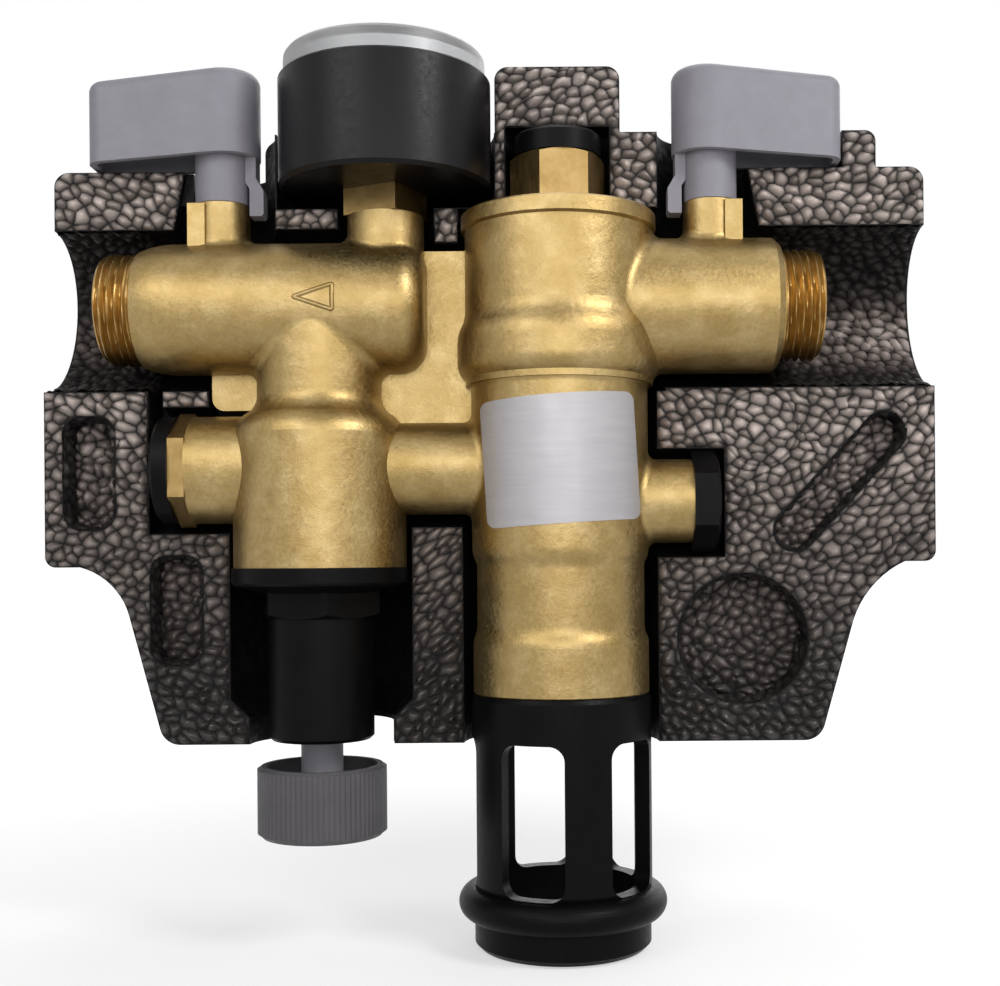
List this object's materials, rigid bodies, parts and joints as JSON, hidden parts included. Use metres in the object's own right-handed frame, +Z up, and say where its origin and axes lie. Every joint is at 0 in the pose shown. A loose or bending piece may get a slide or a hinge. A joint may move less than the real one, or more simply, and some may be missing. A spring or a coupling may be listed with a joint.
{
  "type": "boiler filling block",
  "caption": "Boiler filling block: cast brass body with two shut-off valves, separator with drain cage, pressure reducer and gauge, in the rear half of its bead-foam insulation.",
  "frame": {"origin": "centre of the inlet union thread's end face, on the pipe line's axis", "axes": "+X out of the inlet along the pipe line, +Y away from the front towards the back of the insulation, +Z up along the valve stems"},
  "size_m": [0.2138, 0.0713, 0.212],
  "materials": {
    "cast_brass": "satin cast brass",
    "machined_brass": "bright machined brass",
    "steel": "spring steel",
    "bead_foam": "charcoal bead foam",
    "black_plastic": "black moulded plastic",
    "grey_plastic": "light grey moulded plastic",
    "dark_grey_plastic": "dark grey moulded plastic",
    "seal_white": "white seal plastic",
    "clear_window": "clear plastic",
    "dial_white": "white enamel",
    "silver_foil": "silver foil"
  },
  "bodies": {
    "block": {"brass_body": "cast_brass", "inlet_end_connector": "machined_brass", "outlet_end_connector": "machined_brass", "gauge_socket": "machined_brass", "gauge_movement": "machined_brass", "gauge_bourdon_tube": "machined_brass", "separator_top_plug": "machined_brass", "left_port_plug": "machined_brass", "inlet_strainer": "steel", "inlet_check_spring": "steel", "outlet_check_spring": "steel", "relief_spring": "steel", "setting_spring": "steel", "rear_insulation_shell": "bead_foam", "gauge_case": "black_plastic", "separator_top_cap": "black_plastic", "left_port_cap": "black_plastic", "right_port_plug": "black_plastic", "drain_cage": "black_plastic", "reducer_bonnet": "black_plastic", "inlet_ball_seats": "seal_white", "outlet_ball_seats": "seal_white", "inlet_stem_seal": "seal_white", "outlet_stem_seal": "seal_white", "cartridge_sleeve": "seal_white", "inlet_check_guide": "seal_white", "outlet_check_seat": "seal_white", "outlet_check_guide": "seal_white", "relief_seat_ring": "seal_white", "reducer_cartridge": "seal_white", "reducer_guide_bush": "seal_white", "gauge_window": "clear_window", "gauge_dial": "dial_white", "foil_label": "silver_foil"},
    "inlet_valve": {"inlet_handle": "grey_plastic", "inlet_stem": "machined_brass", "inlet_ball": "steel"},
    "outlet_valve": {"outlet_handle": "grey_plastic", "outlet_stem": "machined_brass", "outlet_ball": "steel"},
    "setting_knob": {"adjusting_knob": "dark_grey_plastic", "adjusting_spindle": "grey_plastic"},
    "setting_plate": {"spring_plate": "steel"},
    "pointer": {"gauge_pointer": "black_plastic"},
    "inlet_check": {"inlet_check_poppet": "seal_white"},
    "outlet_check": {"outlet_check_poppet": "seal_white"},
    "relief": {"relief_piston": "steel", "relief_disc": "black_plastic"},
    "reducer_valve": {"reducer_piston": "machined_brass"}
  },
  "joints": [
    {"name": "inlet_valve_turn", "type": "hinge", "parent": "block", "child": "inlet_valve", "pos_m": [-0.0254, 0, 0], "axis": [0, 0, 1], "range_deg": [-90, 0]},
    {"name": "outlet_valve_turn", "type": "hinge", "parent": "block", "child": "outlet_valve", "pos_m": [-0.1423, 0, 0], "axis": [0, 0, 1], "range_deg": [0, 90]},
    {"name": "knob_turn", "type": "hinge", "parent": "block", "child": "setting_knob", "pos_m": [-0.1194, 0, -0.1174], "axis": [0, 0, 1], "range_deg": [0, 1800]},
    {"name": "spring_plate_climb", "type": "slide", "parent": "block", "child": "setting_plate", "axis": [0, 0, 1], "range_m": [0, 0.0075], "deforming": ["setting_spring"]},
    {"name": "gauge_pointer_turn", "type": "hinge", "parent": "block", "child": "pointer", "pos_m": [-0.1032, 0, 0.0512], "axis": [0, 0, 1], "range_deg": [-270, 0]},
    {"name": "inlet_check_lift", "type": "slide", "parent": "block", "child": "inlet_check", "axis": [0, 0, -1], "range_m": [0, 0.005], "deforming": ["inlet_check_spring"]},
    {"name": "outlet_check_lift", "type": "slide", "parent": "block", "child": "outlet_check", "axis": [-1, 0, 0], "range_m": [0, 0.004], "deforming": ["outlet_check_spring"]},
    {"name": "relief_lift", "type": "slide", "parent": "block", "child": "relief", "axis": [0, 0, 1], "range_m": [0, 0.004], "deforming": ["relief_spring"]},
    {"name": "reducer_valve_travel", "type": "slide", "parent": "block", "child": "reducer_valve", "axis": [0, 0, -1], "range_m": [0, 0.0019]}
  ],
  "couplings": [
    {"joint": "spring_plate_climb", "follows": "knob_turn", "m_per_rad": 0.00023873}
  ]
}
